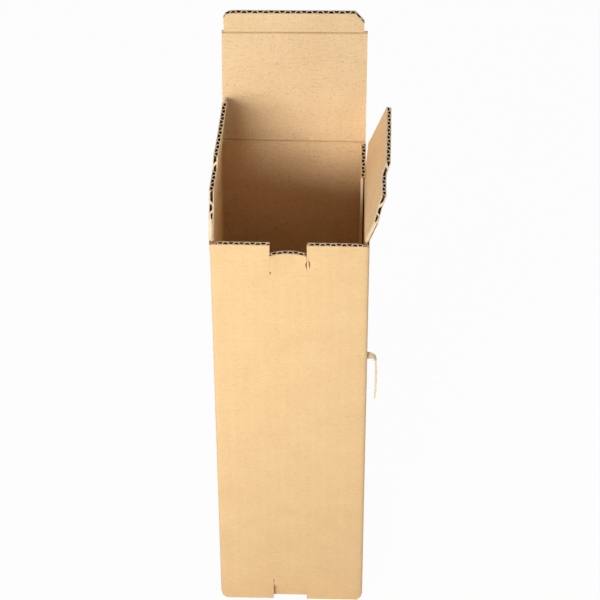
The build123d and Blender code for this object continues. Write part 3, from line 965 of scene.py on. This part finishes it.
# %% Floor and background
FLOOR_HALF, FLOOR_GREY = 6.0, 0.86
SEEN_WHITE, AMBIENT = 0.96, 0.20
WHITE = (1, 1, 1, 1)


def looked_at():
    """1 for a ray that the camera sees straight, in a gloss or through glass, and 0 for light itself."""
    kinds = "Is Camera Ray", "Is Glossy Ray", "Is Transmission Ray"
    camera_ray, glossy, through = (Wire.node("ShaderNodeLightPath", output=kind) for kind in kinds)
    return (camera_ray + glossy + through).clipped(0.0, 1.0)


floor_sheet = bmesh.new()
bmesh.ops.create_grid(floor_sheet, x_segments=1, y_segments=1, size=FLOOR_HALF)
floor_mesh = bpy.data.meshes.new("floor")
floor_sheet.to_mesh(floor_mesh)
floor_sheet.free()
floor = bpy.data.objects.new("floor", floor_mesh)
bpy.context.scene.collection.objects.link(floor)

floor_paint = bpy.data.materials.new("white_floor")
fresh_tree(floor_paint)
matt = Wire.node("ShaderNodeBsdfDiffuse", None, {"Color": (FLOOR_GREY, FLOOR_GREY, FLOOR_GREY, 1)})
glow = Wire.node("ShaderNodeEmission", None, {"Color": WHITE, "Strength": 1.0})
paint = Wire.node("ShaderNodeMixShader", None, {0: looked_at() * SEEN_WHITE, 1: matt, 2: glow})
Wire.node("ShaderNodeOutputMaterial", None, {"Surface": paint}, output=None)
floor.data.materials.append(floor_paint)

world = bpy.data.worlds.new("studio")
bpy.context.scene.world = world
fresh_tree(world)
strength = looked_at() * (1 - AMBIENT) + AMBIENT
sky = Wire.node("ShaderNodeBackground", None, {"Color": WHITE, "Strength": strength})
Wire.node("ShaderNodeOutputWorld", None, {"Surface": sky}, output=None)
print("floor", 2 * FLOOR_HALF, "m wide, world at", AMBIENT)

# %% [markdown]
# ## Lamps
# Three soft lamps light the box. The key stands in front to the left, a little above the rim, and its
# narrowed spread lets the light fall off towards the lower right. The fill stands low at the right and
# opens the shade, and the rim lamp hangs high behind and draws the cut edges. One large lamp would be
# simpler, but the walls would then look flat.

# %% Lamps
def soft_lamp(name, place, target, size, power, spread=180.0):
    """A rectangle of light at place that looks at target, its spread in degrees."""
    light = bpy.data.lights.new(name, "AREA")
    light.shape = "RECTANGLE"
    light.size, light.size_y = size
    light.energy = power
    light.spread = math.radians(spread)
    lamp = bpy.data.objects.new(name, light)
    lamp.location = place
    lamp.rotation_euler = (Vector(target) - Vector(place)).to_track_quat("-Z", "Y").to_euler()
    bpy.context.scene.collection.objects.link(lamp)
    print("lamp", name, power, "W")


KEY_PLACE, KEY_TARGET = (-0.36, -0.79, 0.42), (-0.10, 0, 0.32)
FILL_PLACE, FILL_TARGET = (1.2, 0.05, 0.4), (0, 0, 0.25)
RIM_PLACE, RIM_TARGET = (-0.1, 0.55, 1.7), (0, 0, 0.33)
soft_lamp("key", KEY_PLACE, KEY_TARGET, size=(0.45, 0.45), power=2.43, spread=105.0)
soft_lamp("fill", FILL_PLACE, FILL_TARGET, size=(0.8, 0.6), power=3.8)
soft_lamp("rim", RIM_PLACE, RIM_TARGET, size=(0.6, 0.5), power=5.5)

# %% [markdown]
# ## Camera
# The photograph was taken from in front, looking steeply down through a long lens, so the walls run
# together only a little. The camera's place and angles were fitted to the corners of the box, and its
# axes are worked out from them one by one, because a roll is easier to read that way than in a
# rotation of three angles.

# %% Camera
SENSOR, LENS, NEAREST = 36.0, 168.023, 0.05
CAMERA_PLACE = (0.04055, -1.24234, 1.47902)
YAW, PITCH_DOWN, ROLL = math.radians(-1.6503), math.radians(44.9676), math.radians(0.1268)
camera_data = bpy.data.cameras.new("camera")
camera_data.sensor_width = SENSOR
camera_data.lens = LENS
camera_data.clip_start = NEAREST
camera = bpy.data.objects.new("camera", camera_data)
camera.location = CAMERA_PLACE
level, drop = math.cos(PITCH_DOWN), math.sin(PITCH_DOWN)
ahead = Vector((math.sin(YAW) * level, math.cos(YAW) * level, -drop))
right = Vector((math.cos(YAW), -math.sin(YAW), 0.0))
down = ahead.cross(right)
rolled_right = right * math.cos(ROLL) + down * math.sin(ROLL)
rolled_up = right * math.sin(ROLL) - down * math.cos(ROLL)
camera.rotation_euler = Matrix((rolled_right, rolled_up, -ahead)).transposed().to_euler()
bpy.context.scene.collection.objects.link(camera)
bpy.context.scene.camera = camera
bpy.context.scene.view_settings.view_transform = "Standard"
print("camera looks along", [round(c, 3) for c in ahead])
